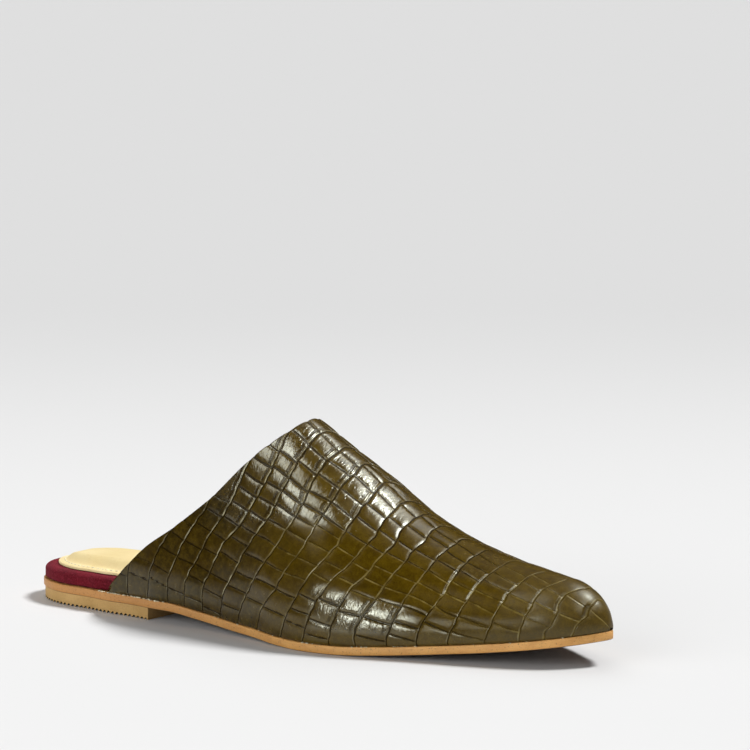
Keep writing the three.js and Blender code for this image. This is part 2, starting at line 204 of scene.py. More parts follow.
def sole_edge(x, side):
    """The sole's edge at x on the outer (-1) or inner (+1) side."""
    width = HEEL_WIDTH + (BALL_WIDTH - HEEL_WIDTH) * smoothstep(*WAIST, x / LENGTH)
    swing = TOE_SWING * np.maximum(0, (x / LENGTH - 0.5) / 0.5) ** 2
    share = np.where(side < 0, outer_share(x / LENGTH), inner_share(x / LENGTH))
    ends = round_end(x, HEEL_ROUND) * round_end(LENGTH - x, TOE_ROUND)
    return swing + side * width * share * ends


def sole_bottom(x):
    lifted = np.where(x <= HEEL_LIFT_LENGTH, 1, drop_share(x / LENGTH))
    return HEEL_LIFT * lifted + TOE_SPRING * rise_share(x / LENGTH)


def sole_top(x):
    return sole_bottom(x) + SOLE_THICKNESS


def upper_point(x, angle):
    """A point of the upper's outer face: angle runs from 0 at the outer feather edge to pi at the inner."""
    x, angle = np.broadcast_arrays(np.asarray(x, float), np.asarray(angle, float))
    side = np.where(angle < math.pi / 2, -1.0, 1.0)
    climb = np.where(side < 0, angle, math.pi - angle)
    s = (x - THROAT_AT) / (LENGTH - THROAT_AT)
    reach = LENGTH - UPPER_MARGIN
    squeeze = np.minimum(x, reach)
    middle = (sole_edge(squeeze, -1.0) + sole_edge(squeeze, 1.0)) / 2
    crest = middle + CREST_SHIFT * (1 - smoothstep(0.1, 0.9, s))
    foot = sole_edge(squeeze, side) - side * UPPER_MARGIN
    rise = TOE_HEIGHT + (INSTEP_HEIGHT - TOE_HEIGHT) * crest_rise(s)
    height = rise * round_end(reach - x, NOSE_ROUND)
    ends = round_end(reach - x, 2 * NOSE_ROUND)
    across, climbed = np.maximum(np.cos(climb), 0), np.maximum(np.sin(climb), 0)
    out = across ** np.where(side < 0, outer_peak(s), inner_peak(s))
    up = climbed ** crest_flank(s)
    bulge = SIDE_BULGE * ends * np.sin(math.pi * np.sqrt(up)) * out
    y = crest + (foot - crest) * out + side * bulge
    return np.stack([x, y, sole_top(squeeze) + GAP + height * up], -1)


def topline(angle):
    """Where the topline crosses each angle."""
    low = np.full(angle.shape, QUARTER_AT)
    high = np.full(angle.shape, THROAT_AT)
    foot = sole_top(np.array(QUARTER_AT))
    whole = sole_top(np.array(THROAT_AT)) + INSTEP_HEIGHT - foot
    for _ in range(40):
        x = (low + high) / 2
        z = upper_point(x, angle)[..., 2]
        behind = QUARTER_AT + (THROAT_AT - QUARTER_AT) * topline_along((z - foot) / whole) > x
        low = np.where(behind, x, low)
        high = np.where(behind, high, x)
    return high


def waves(p, seed, scale):
    """Smooth, seeded unevenness of about unit size, from a few waves through space."""
    local = np.random.default_rng(seed)
    total = np.zeros(p.shape[:-1])
    for _ in range(7):
        direction = local.normal(size=3)
        direction /= np.linalg.norm(direction)
        turn = local.uniform(0.6, 1.7) * 2 * math.pi / scale
        total += np.sin((p @ direction) * turn + local.uniform(0, 2 * math.pi))
    return total / 2.6


# Meshes
def make_mesh(name, points, faces, smooth=True):
    """A mesh from points in millimetres, moved so that the origin lies under the middle of the heel."""
    mesh = bpy.data.meshes.new(name)
    moved = (np.asarray(points) - (ORIGIN_AT, 0, 0)) / 1000
    mesh.from_pydata(moved.tolist(), [], faces if isinstance(faces, list) else faces.tolist())
    mesh.polygons.foreach_set("use_smooth", [smooth] * len(mesh.polygons))
    mesh.update()
    piece = bpy.data.objects.new(name, mesh)
    bpy.context.scene.collection.objects.link(piece)
    return piece


def grid_faces(rows, columns, first=0, flip=False):
    """Quads of a grid of points stored row by row."""
    r, c = np.meshgrid(np.arange(rows - 1), np.arange(columns - 1), indexing="ij")
    a = (first + r * columns + c).ravel()
    quad = [a, a + columns, a + columns + 1, a + 1]
    return np.stack(quad[::-1] if flip else quad, 1)


def attribute(piece, name, values):
    layer = piece.data.attributes.new(name, "FLOAT", "POINT")
    layer.data.foreach_set("value", np.asarray(values, np.float32).ravel())


def set_smooth_by_angle(piece, degrees):
    """Keeps arrises sharper than the angle crisp."""
    piece.data.set_sharp_from_angle(angle=math.radians(degrees))


# The upper's outer face, with the embossed tiles as true relief
SKIN_ALONG = 452
SKIN_OUTER = 152
SKIN_INNER = 60


GIRTH_STEPS = 400
CREST_COLUMN = GIRTH_STEPS // 2


def girth_table():
    """Arc length round the section at each millimetre, for turning an angle into a share of the girth."""
    xs = np.arange(QUARTER_AT - 2, LENGTH - UPPER_MARGIN, 1.0)
    angles = np.linspace(0, math.pi, GIRTH_STEPS + 1)
    p = upper_point(xs[:, None], angles[None, :])
    steps = np.linalg.norm(np.diff(p, axis=1), axis=2)
    arc = np.concatenate([np.zeros((len(xs), 1)), np.cumsum(steps, 1)], 1)
    return xs, arc


GIRTH_X, GIRTH_ARC = girth_table()


def girth_share(x, angle):
    """(share of the half girth, half girth in mm); the share runs 0 to 1 at the crest and on to 2."""
    row = np.clip(x - GIRTH_X[0], 0, len(GIRTH_X) - 1.001)
    col = np.clip(angle / math.pi * GIRTH_STEPS, 0, GIRTH_STEPS - 0.001)
    i, j = row.astype(int), col.astype(int)
    a, b = row - i, col - j
    arc = ((1 - a) * (1 - b) * GIRTH_ARC[i, j] + a * (1 - b) * GIRTH_ARC[i + 1, j]
           + (1 - a) * b * GIRTH_ARC[i, j + 1] + a * b * GIRTH_ARC[i + 1, j + 1])
    outer = (1 - a) * GIRTH_ARC[i, CREST_COLUMN] + a * GIRTH_ARC[i + 1, CREST_COLUMN]
    whole = (1 - a) * GIRTH_ARC[i, GIRTH_STEPS] + a * GIRTH_ARC[i + 1, GIRTH_STEPS]
    share = np.where(arc <= outer, arc / outer, 1 + (arc - outer) / (whole - outer))
    return share, np.where(arc <= outer, outer, whole - outer)


# Relief of the mesh itself, in millimetres; the fine edges of the grooves are added by the material
GROOVE_DEPTH = 0.22
GROOVE_HALF = 0.62
TILE_CROWN = 0.17


def tile_places(points, share, half_girth):
    """Where each point lies among the charted tiles: shares of its tile, distances to its grooves, tone."""
    u = np.where(share <= 1, share, 2 - share)
    inner = share > 1
    x = points[..., 0] + 0.22 * waves(points, 3, 17.0) + 0.16 * waves(points, 9, 7.0)
    x = x - np.where(inner, 5.0 * (1 - u), 0)
    u_line = np.clip(u + 0.004 * waves(points, 5, 23.0) * 90 / half_girth, 0, 1)
    cross = np.array([np.interp(u_line, GIRTH_SHARES, row) for row in CROSS])
    lean = np.array([np.interp(u_line, GIRTH_SHARES, np.gradient(row, GIRTH_SHARES)) for row in CROSS])
    column = np.clip((cross <= x[None]).sum(0) - 1, 0, len(CROSS) - 2)
    rear = np.take_along_axis(cross, column[None], 0)[0]
    front = np.take_along_axis(cross, column[None] + 1, 0)[0]
    slant = 1 / np.sqrt(1 + (np.take_along_axis(lean, column[None], 0)[0] / half_girth) ** 2)
    t = np.clip((x - rear) / (front - rear), 0, 1)
    behind = (x - rear) * slant
    ahead = (front - x) * slant
    below = np.full(u.shape, 9.0)
    above = np.full(u.shape, 9.0)
    tone = np.zeros(u.shape)
    row_at = np.zeros(u.shape)
    v = np.zeros(u.shape)
    tones = np.random.default_rng(11).random((len(COLUMNS), 16))
    for k, (fall, breaks) in enumerate(COLUMNS):
        here = column == k
        if not here.any():
            continue
        line = np.array(breaks)[:, None] + fall * (t[here] - 0.5)[None]
        here_u = u_line[here]
        row = (line <= here_u[None]).sum(0)
        last = len(breaks) - 1
        line_below = np.take_along_axis(line, np.maximum(row - 1, 0)[None], 0)[0]
        line_above = np.take_along_axis(line, np.minimum(row, last)[None], 0)[0]
        low = np.where(row > 0, line_below, -0.12)
        high = np.where(row <= last, line_above, 2 - line[-1])
        below[here] = (here_u - low) * half_girth[here]
        above[here] = (high - here_u) * half_girth[here]
        v[here] = (here_u - low) / np.maximum(high - low, 1e-6)
        row_at[here] = row + v[here]
        tone[here] = tones[k, np.minimum(row + np.where(inner[here], 3, 0), 15)]
    column_at = column + (x - rear) / (front - rear)
    return x, u, t, v, behind, ahead, below, above, tone, column_at, row_at


def relief(points, share, half_girth):
    """Relief height of the mesh, and the values the leather's material works from."""
    x, u, t, v, behind, ahead, below, above, tone, column_at, row_at = tile_places(points, share, half_girth)
    # The fine grid on the outer instep and the ball are embossed most boldly, the middle least
    low = 0.33 + 0.2 * smoothstep(112, 165, x)
    grid = smoothstep(92, 112, x) * (1 - smoothstep(158, 176, x))
    grid = grid * smoothstep(low, low + 0.1, u) * (1 - smoothstep(0.93, 1.0, u))
    ball = smoothstep(158, 164, x) * (1 - smoothstep(194, 204, x))
    ball = ball * smoothstep(0.06, 0.1, u) * (1 - smoothstep(0.24, 0.3, u))
    flat = smoothstep(128, 150, x) * (1 - smoothstep(222, 236, x)) * smoothstep(0.24, 0.32, u)
    flat = flat * (1 - smoothstep(0.5, 0.62, u)) * (1 - grid)
    toe = smoothstep(205, 245, x)
    bold = np.clip(grid + ball, 0, 1)
    quarter = smoothstep(60, 90, x) * (1 - smoothstep(130, 150, x))
    strip = np.clip(grid + 0.8 * ball + 0.3 * quarter, 0, 1) * (1 - flat)
    wide = GROOVE_HALF * (1 + 0.3 * bold)
    deep = GROOVE_DEPTH * (1 + 0.3 * bold) * (1 - 0.6 * flat) * (1 - 0.7 * toe)
    near_row = np.minimum(below, above)
    near_cross = np.minimum(behind, ahead)
    cut_row = np.exp(-((near_row / wide) ** 1.8)) * (1 - 0.3 * toe)
    cut_cross = np.exp(-((near_cross / wide) ** 1.8))
    groove = 1 - (1 - cut_row) * (1 - cut_cross)
    crown = (1 - (2 * t - 1) ** 2) * (1 - (2 * v - 1) ** 2)
    high = TILE_CROWN * crown * (1 - 0.5 * flat) * (1 - 0.3 * toe) - deep * groove
    ridge = smoothstep(0.74, 0.84, u) * smoothstep(116, 126, x)
    ridge = ridge * (1 - smoothstep(172, 186, x)) * (1 - smoothstep(0.95, 1.0, u))
    side = smoothstep(188, 198, x) * (1 - smoothstep(236, 250, x))
    side = side * (1 - smoothstep(0.42, 0.6, u)) * smoothstep(0.08, 0.14, u)
    brow = smoothstep(176, 190, x) * smoothstep(0.6, 0.75, u) * (1 - smoothstep(240, 250, x))
    heel_side = (1 - smoothstep(100, 135, x)) * smoothstep(0.08, 0.14, u) * (1 - grid)
    # How glossy the skin lies: the bold tiles and the tip are polished, the middle and the sides dull
    gloss = 0.4 + 0.55 * grid + 0.85 * ball + 0.48 * ridge + 0.04 * smoothstep(234, 248, x)
    gloss = gloss - 0.2 * brow - 0.34 * flat - 0.28 * side - 0.36 * heel_side
    crescent = smoothstep(196, 208, x) * smoothstep(0.32, 0.42, u) * (1 - smoothstep(0.6, 0.75, u))
    # How strongly the front edges of the tiles are painted pale, as a painted highlight: most on the rear
    # quarter, less on the grid and the middle
    rear = smoothstep(0.08, 0.14, u) * (1 - smoothstep(128, 146, x))
    pale = 0.1 + 0.55 * rear * smoothstep(74, 100, x) + 0.3 * grid + 0.12 * flat
    values = {
        "across": column_at,
        "along": row_at,
        "span": behind + ahead,
        "tall": below + above,
        "tone": tone,
        "strip": strip,
        "bold": bold,
        "flat": flat,
        "toe": toe,
        "gloss": np.clip(gloss, 0.04, 1),
        "crescent": crescent,
        "ridge": ridge,
        "pale": np.clip(pale, 0, 0.9),
    }
    return high, values


def normals(grid):
    """Outward normals of a grid of points."""
    du = np.gradient(grid, axis=0)
    dv = np.gradient(grid, axis=1)
    n = np.cross(du, dv)
    return n / np.maximum(np.linalg.norm(n, axis=2, keepdims=True), 1e-9)


def skin_grid(along, outer, inner, wall=0.0):
    """Points of one face of the upper on an even grid, with the x, angle and normal of each."""
    ref = np.linspace(0, math.pi, 801)
    share, _ = girth_share(np.full(801, 165.0), ref)
    wanted = np.concatenate([np.linspace(0, 1, outer + 1), np.linspace(1, 2, inner + 1)[1:]])
    angle = np.interp(wanted, share, ref)
    angle[0], angle[-1] = 0.0, math.pi
    t = np.linspace(0, 1, along)
    eased = 0.62 * t + 0.38 * np.sin(math.pi / 2 * t)
    start = topline(angle)
    tip_at = LENGTH - UPPER_MARGIN - 0.02
    x = start[None, :] + (tip_at - start[None, :]) * eased[:, None]
    a = np.broadcast_to(angle[None, :], x.shape)
    points = upper_point(x, a)
    n = normals(points)
    n[:, 0, 2] = n[:, -1, 2] = 0
    n /= np.maximum(np.linalg.norm(n, axis=2, keepdims=True), 1e-9)
    n[-1] = n[-2]
    return points - wall * n, x, a, n


def make_upper():
    points, x, angle, n = skin_grid(SKIN_ALONG, SKIN_OUTER, SKIN_INNER)
    share, half = girth_share(x, angle)
    high, values = relief(points, share, half)
    tip = smoothstep(0.2, 2.5, LENGTH - UPPER_MARGIN - x)
    edge = smoothstep(0.0, 0.5, np.minimum(share, 2 - share) * half)
    high = high * tip * (0.3 + 0.7 * edge)
    outer_face = points + high[..., None] * n
    # The cut edge folds in to the wall's thickness at the topline and along the feather
    mid = points - UPPER_WALL / 2 * n
    deep = points - UPPER_WALL * n
    rows, cols = x.shape
    whole = np.zeros((rows + 2, cols + 4, 3))
    whole[2:, 2:-2] = outer_face
    whole[2:, 1], whole[2:, 0] = mid[:, 0], deep[:, 0]
    whole[2:, -2], whole[2:, -1] = mid[:, -1], deep[:, -1]
    whole[1, 2:-2], whole[0, 2:-2] = mid[0], deep[0]
    whole[:2, :2], whole[:2, -2:] = deep[0, 0], deep[0, -1]
    piece = make_mesh("upper_skin", whole.reshape(-1, 3), grid_faces(rows + 2, cols + 4))

    def spread(values, border):
        out = np.full((rows + 2, cols + 4), border, float)
        out[2:, 2:-2] = values
        return out

    u = np.where(share <= 1, share, 2 - share)
    values["light"] = smoothstep(96, 150, x + 40 * (u - 0.4))
    for name, value in values.items():
        attribute(piece, name, spread(value, 0.5))
    attribute(piece, "cut", spread(np.zeros(x.shape), 1))
    return piece


def make_lining():
    points, _, _, n = skin_grid(96, 44, 34, UPPER_WALL + 0.02)
    rows, cols = points.shape[:2]
    return make_mesh("upper_lining", points[:-3].reshape(-1, 3), grid_faces(rows - 3, cols, flip=True))


# Sole, lift, footbed and sock
def stations(start, end, steps):
    t = np.linspace(0, 1, steps + 1)
    return start + (end - start) * (0.35 * t + 0.65 * (0.5 - 0.5 * np.cos(math.pi * t)))


def outline_loop(xs, edge):
    outer = np.stack([xs, edge(xs, -1.0)], 1)
    inner = np.stack([xs[1:-1], edge(xs[1:-1], 1.0)], 1)[::-1]
    return np.concatenate([outer, inner])


def inset_loop(loop, distance):
    """Moves a loop inwards, square to its edge."""
    ahead, back = np.roll(loop, -1, 0), np.roll(loop, 1, 0)
    d = ahead - back
    d /= np.linalg.norm(d, axis=1, keepdims=True)
    return loop + np.stack([-d[:, 1], d[:, 0]], 1) * np.reshape(distance, (-1, 1))


def slab(name, rings, across):
    """A slab from a stack of loops, lowest first, closed below and above by strips between its sides."""
    n = len(rings[0][0])
    half = n // 2
    points = [np.column_stack([loop, height(loop[:, 0], loop[:, 1])]) for loop, height in rings]
    faces = []
    for r in range(len(rings) - 1):
        a = r * n + np.arange(n)
        b = r * n + (np.arange(n) + 1) % n
        faces += np.stack([a, b, b + n, a + n], 1).tolist()
    total = len(rings) * n
    for ring, up in ((0, False), (len(rings) - 1, True)):
        loop, height = rings[ring]
        base = ring * n
        rows = []
        for i in range(1, half):
            t = np.arange(1, across)[:, None] / across
            line = loop[i] * (1 - t) + loop[n - i] * t
            points.append(np.column_stack([line, height(line[:, 0], line[:, 1])]))
            rows.append([base + i, *range(total, total + across - 1), base + n - i])
            total += across - 1
        for k in range(across):
            tris = [[base, rows[0][k], rows[0][k + 1]], [rows[-1][k], base + half, rows[-1][k + 1]]]
            faces += tris if up else [face[::-1] for face in tris]
        for p, q in zip(rows, rows[1:]):
            for k in range(across):
                face = [p[k], q[k], q[k + 1], p[k + 1]]
                faces.append(face if up else face[::-1])
    piece = make_mesh(name, np.concatenate(points), faces)
    set_smooth_by_angle(piece, 50)
    return piece


def make_outsole():
    loop = outline_loop(stations(0, LENGTH, 260), sole_edge)
    ripple = 0.05 * np.sin(loop[:, 0] * 0.9) * np.sin(loop[:, 0] * 0.23)

    def ring(inset, share):
        moved = inset_loop(loop, inset + ripple * (0 < share < 1))
        return moved, lambda x, y: sole_bottom(x) + SOLE_THICKNESS * share

    top = (inset_loop(loop, SOLE_BEVEL / 3), lambda x, y: sole_top(x))
    profile = [(SOLE_BEVEL, 0), (0.22, 0.05), (0.0, 0.14), (-0.02, 0.5), (0.0, 0.9), (0.06, 0.97)]
    rings = [ring(inset, share) for inset, share in profile]
    return slab("outsole_leather", rings + [top], 24)


RIB_PITCH = 2.29
RIB_DEPTH = 0.9


def make_lift():
    """The lift, with fine cross ribs on its tread."""
    edge = outline_loop(stations(0, LENGTH, 1100), sole_edge)
    loop = inset_loop(edge, SOLE_BEVEL)
    half = len(loop) // 2
    pairs = [(loop[i], loop[-i % len(loop)]) for i in range(half) if loop[i][0] < HEEL_LIFT_LENGTH]
    outer = np.array([p[0] for p in pairs])
    inner = np.array([p[1] for p in pairs])
    outer[-1, 0] = inner[-1, 0] = HEEL_LIFT_LENGTH
    at = np.linspace(outer[0, 0], HEEL_LIFT_LENGTH, 380)
    outer_y = np.interp(at, outer[:, 0], outer[:, 1])
    inner_y = np.interp(at, inner[:, 0], inner[:, 1])
    phase = np.mod(at / RIB_PITCH, 1)
    rib = RIB_DEPTH * np.clip(1.5 - 3.4 * np.abs(phase - 0.5), 0, 1)
    rib = rib * smoothstep(0.4, 1.2, HEEL_LIFT_LENGTH - at)
    across = 10
    section = [(0, 0.0), (0, 0.12), (0, 0.55), (0, 1)]
    section += [(k / across, 1) for k in range(1, across)]
    section += [(1, 1), (1, 0.55), (1, 0.12), (1, 0.0)]
    section += [(k / across, 0.0) for k in range(across - 1, 0, -1)]
    ring = np.array(section)
    y = outer_y[:, None] * (1 - ring[None, :, 0]) + inner_y[:, None] * ring[None, :, 0]
    low = rib[:, None]
    z = np.where(ring[None, :, 1] == 0, low, np.maximum(HEEL_LIFT * ring[None, :, 1], low + 0.01))
    x = np.broadcast_to(at[:, None], y.shape)
    points = np.stack([x, y, z], -1)
    rows, cols = x.shape
    a = (np.arange(rows - 1)[:, None] * cols + np.arange(cols)[None, :]).ravel()
    b = (np.arange(rows - 1)[:, None] * cols + (np.arange(cols)[None, :] + 1) % cols).ravel()
    faces = np.stack([a, b, b + cols, a + cols], 1)[:, ::-1].tolist()
    faces.append(list(range((rows - 1) * cols, rows * cols)))
    faces.append(list(range(cols))[::-1])
    piece = make_mesh("lift_block", points.reshape(-1, 3), faces)
    set_smooth_by_angle(piece, 30)
    return piece


BED_END = LENGTH - FOOTBED_TOE_ROOM


def bed_top(x):
    full = FOOTBED_TOE + (FOOTBED_HEEL - FOOTBED_TOE) * (1 - smoothstep(0.3, 0.62, x / LENGTH))
    return sole_top(x) + GAP + full


def bed_loop(extra=None, steps=200):
    def edge(x, side):
        return sole_edge(x + FOOTBED_TOE_ROOM * smoothstep(0.8, 1, x / BED_END), side)

    loop = outline_loop(stations(0, BED_END, steps), edge)
    x = loop[:, 0]
    inside = UPPER_MARGIN + UPPER_WALL + GAP
    inset = FOOTBED_REVEAL + (inside - FOOTBED_REVEAL) * smoothstep(0.82 * QUARTER_AT, 0.98 * QUARTER_AT, x)
    return inset_loop(loop, inset + (extra(x) if extra else 0))


def make_footbed():
    r = FOOTBED_ROUND

    def low(x, y):
        return sole_top(x) + GAP

    def rounded(turn):
        """A loop of the rounded rim, from its side (0) to its top (a quarter turn)."""
        drop = min(r, FOOTBED_TOE * 0.8) * (1 - math.sin(turn))
        inset = r * (1 - math.cos(turn))
        return bed_loop(lambda x: inset + 0 * x), lambda x, y: bed_top(x) - drop

    rings = [(bed_loop(lambda x: 0.8 + 0 * x), low), (bed_loop(), lambda x, y: low(x, y) + 0.6)]
    rings += [rounded(turn) for turn in np.linspace(0, math.pi / 2, 9)]
    return slab("footbed_suede", rings, 24)


def pad_rise(x, y):
    at = np.maximum(x, 0.5)
    sides = np.minimum(y - sole_edge(at, -1.0), sole_edge(at, 1.0) - y)
    edge = np.minimum(sides, x) - SOCK_INSET - PAD_INSET
    back = round_end(x - SOCK_INSET - SOCK_BACK, PAD_ROUND)
    front = 1 - smoothstep(PAD_END - 3 * PAD_SLOPE, PAD_END, x)
    return PAD_HEIGHT * smoothstep(0, PAD_SLOPE, edge) * back * front


def sock_inset(x):
    back = SOCK_BACK * (1 - smoothstep(0, HEEL_ROUND, x))
    front = smoothstep(QUARTER_AT, 1.5 * QUARTER_AT, x)
    return back + SOCK_INSET + (SOCK_FRONT - SOCK_INSET) * front


def sock_top(x, y):
    return bed_top(x) + GAP + SOCK_THICKNESS + pad_rise(x, y)


def make_sock():
    def low(x, y):
        return bed_top(x) + GAP

    rings = [
        (bed_loop(sock_inset), low),
        (bed_loop(sock_inset), lambda x, y: low(x, y) + SOCK_THICKNESS * 0.75),
        (bed_loop(lambda x: sock_inset(x) + 0.3), sock_top),
    ]
    return slab("sock_leather", rings, 70)


def make_stitches():
    """Short raised stitches along the sock's edge."""
    loop = bed_loop(lambda x: sock_inset(x) + 2.6, 600)
    step = np.linalg.norm(np.diff(loop, axis=0, append=loop[:1]), axis=1)
    run = np.concatenate([[0], np.cumsum(step)[:-1]])
    points, faces = [], []
    length, pitch, radius = 1.7, 2.6, 0.3
    for s in np.arange(0, run[-1], pitch):
        ends = np.array([[np.interp(s + d, run, loop[:, k]) for k in (0, 1)] for d in (0.0, length)])
        if ends[:, 0].max() > PAD_END:
            continue
        along = ends[1] - ends[0]
        along /= np.linalg.norm(along)
        side = np.array([-along[1], along[0]])
        first = len(points)
        for t in (0.0, 0.2, 0.5, 0.8, 1.0):
            mid = ends[0] * (1 - t) + ends[1] * t
            swell = math.sin(math.pi * (0.1 + 0.8 * t))
            z = float(sock_top(mid[0], mid[1])) + 0.2 * swell - 0.1
            for turn in range(6):
                a = turn * math.pi / 3
                off = side * math.cos(a) * radius
                points.append([mid[0] + off[0], mid[1] + off[1], z + math.sin(a) * radius])
        for ring in range(4):
            for turn in range(6):
                a = first + ring * 6 + turn
                b = first + ring * 6 + (turn + 1) % 6
                faces.append([a, b, b + 6, a + 6])
        faces.append([first + k for k in range(6)][::-1])
        faces.append([first + 24 + k for k in range(6)])
    return make_mesh("sock_stitches", points, faces)


def make_flecks():
    """Pale specks of dried cement and fluff in the seam between the upper and the sole."""
    points, faces = [], []
    # Stretches of the seam: start, end and how many specks
    stretches = ((44, 80, 60), (150, 200, 26), (80, 150, 10), (200, 262, 12))
    spots = np.concatenate([rng.uniform(start, end, count) for start, end, count in stretches])
    shape = [(1, 0, 0), (-1, 0, 0), (0, 1, 0), (0, -1, 0), (0, 0, 1), (0, 0, -1)]
    upper_half = ((0, 2, 4), (2, 1, 4), (1, 3, 4), (3, 0, 4))
    lower_half = ((2, 0, 5), (1, 2, 5), (3, 1, 5), (0, 3, 5))
    for x in spots:
        side = -1.0 if rng.random() < 0.7 else 1.0
        y = float(sole_edge(np.array(x), side)) - side * rng.uniform(0.0, 0.25)
        z = float(sole_top(np.array(x))) + rng.uniform(0.05, 0.3)
        size = rng.uniform(0.14, 0.34) * (1.5 if x < 80 else 1)
        first = len(points)
        for a, b, c in shape:
            k = rng.uniform(0.7, 1.3)
            points.append([x + a * size * k * 2.2, y + b * size * k * 0.7, z + c * size * k * 0.8])
        for a, b, c in upper_half + lower_half:
            faces.append([first + a, first + b, first + c])
    return make_mesh("seam_flecks", points, faces)


# Materials
def srgb(r, g, b):
    """A colour given as it looks on screen, from 0 to 255, as linear values."""
    def linear(c):
        c /= 255
        return c / 12.92 if c <= 0.04045 else ((c + 0.055) / 1.055) ** 2.4

    return (linear(r), linear(g), linear(b), 1)


class Surface:
    """A node material, with short helpers for its nodes."""

    def __init__(self, name):
        self.material = bpy.data.materials.new(name)
        self.material.use_nodes = True
        self.tree = self.material.node_tree
        self.shader = self.tree.nodes["Principled BSDF"]
        self.coords = self.tree.nodes.new("ShaderNodeTexCoord").outputs["Object"]

    def node(self, kind, **settings):
        made = self.tree.nodes.new(kind)
        for key, value in settings.items():
            setattr(made, key, value)
        return made

    def link(self, source, target):
        if isinstance(source, (int, float, tuple)):
            target.default_value = source
        else:
            self.tree.links.new(source, target)

    def attribute(self, name):
        return self.node("ShaderNodeAttribute", attribute_name=name).outputs["Fac"]

    def math(self, operation, a, b=0.0, clamp=False):
        made = self.node("ShaderNodeMath", operation=operation, use_clamp=clamp)
        self.link(a, made.inputs[0])
        self.link(b, made.inputs[1])
        return made.outputs[0]

    def product(self, *values):
        total = values[0]
        for value in values[1:]:
            total = self.math("MULTIPLY", total, value)
        return total

    def mix(self, factor, a, b):
        made = self.node("ShaderNodeMix", data_type="RGBA")
        self.link(factor, made.inputs["Factor"])
        self.link(a, made.inputs["A"])
        self.link(b, made.inputs["B"])
        return made.outputs["Result"]

    def mix_value(self, factor, a, b):
        made = self.node("ShaderNodeMix", data_type="FLOAT")
        self.link(factor, made.inputs[0])
        self.link(a, made.inputs[2])
        self.link(b, made.inputs[3])
        return made.outputs[0]

    def remap(self, value, low, high, to_low=0.0, to_high=1.0):
        made = self.node("ShaderNodeMapRange")
        keys = ("Value", "From Min", "From Max", "To Min", "To Max")
        for key, item in zip(keys, (value, low, high, to_low, to_high)):
            self.link(item, made.inputs[key])
        return made.outputs["Result"]

    def smooth(self, value, low, high):
        """0 at low and 1 at high, softly; low may be the larger number, or a larger value from a node."""
        made = self.node("ShaderNodeMapRange", interpolation_type="SMOOTHSTEP")
        falls = not isinstance(low, (int, float)) or low > high
        first, last = (high, low) if falls else (low, high)
        keys = ("Value", "From Min", "From Max", "To Min", "To Max")
        for key, item in zip(keys, (value, first, last, float(falls), float(not falls))):
            self.link(item, made.inputs[key])
        return made.outputs["Result"]

    def stretched(self, scale):
        made = self.node("ShaderNodeMapping")
        made.inputs["Scale"].default_value = scale
        self.link(self.coords, made.inputs["Vector"])
        return made.outputs["Vector"]

    def noise(self, scale, detail=3.0, roughness=0.5, vector=None, distortion=0.0):
        made = self.node("ShaderNodeTexNoise")
        made.inputs["Scale"].default_value = scale
        made.inputs["Detail"].default_value = detail
        made.inputs["Roughness"].default_value = roughness
        made.inputs["Distortion"].default_value = distortion
        self.link(vector or self.coords, made.inputs["Vector"])
        return made.outputs["Fac"]

    def cells(self, scale):
        made = self.node("ShaderNodeTexVoronoi")
        made.inputs["Scale"].default_value = scale
        self.link(self.coords, made.inputs["Vector"])
        return made.outputs["Distance"]

    def bump(self, height, distance, strength=1.0, below=None):
        made = self.node("ShaderNodeBump")
        made.inputs["Strength"].default_value = strength
        made.inputs["Distance"].default_value = distance
        self.link(height, made.inputs["Height"])
        if below:
            self.link(below, made.inputs["Normal"])
        return made.outputs["Normal"]

    def set(self, **values):
        for key, value in values.items():
            self.link(value, self.shader.inputs[key.replace("_", " ")])


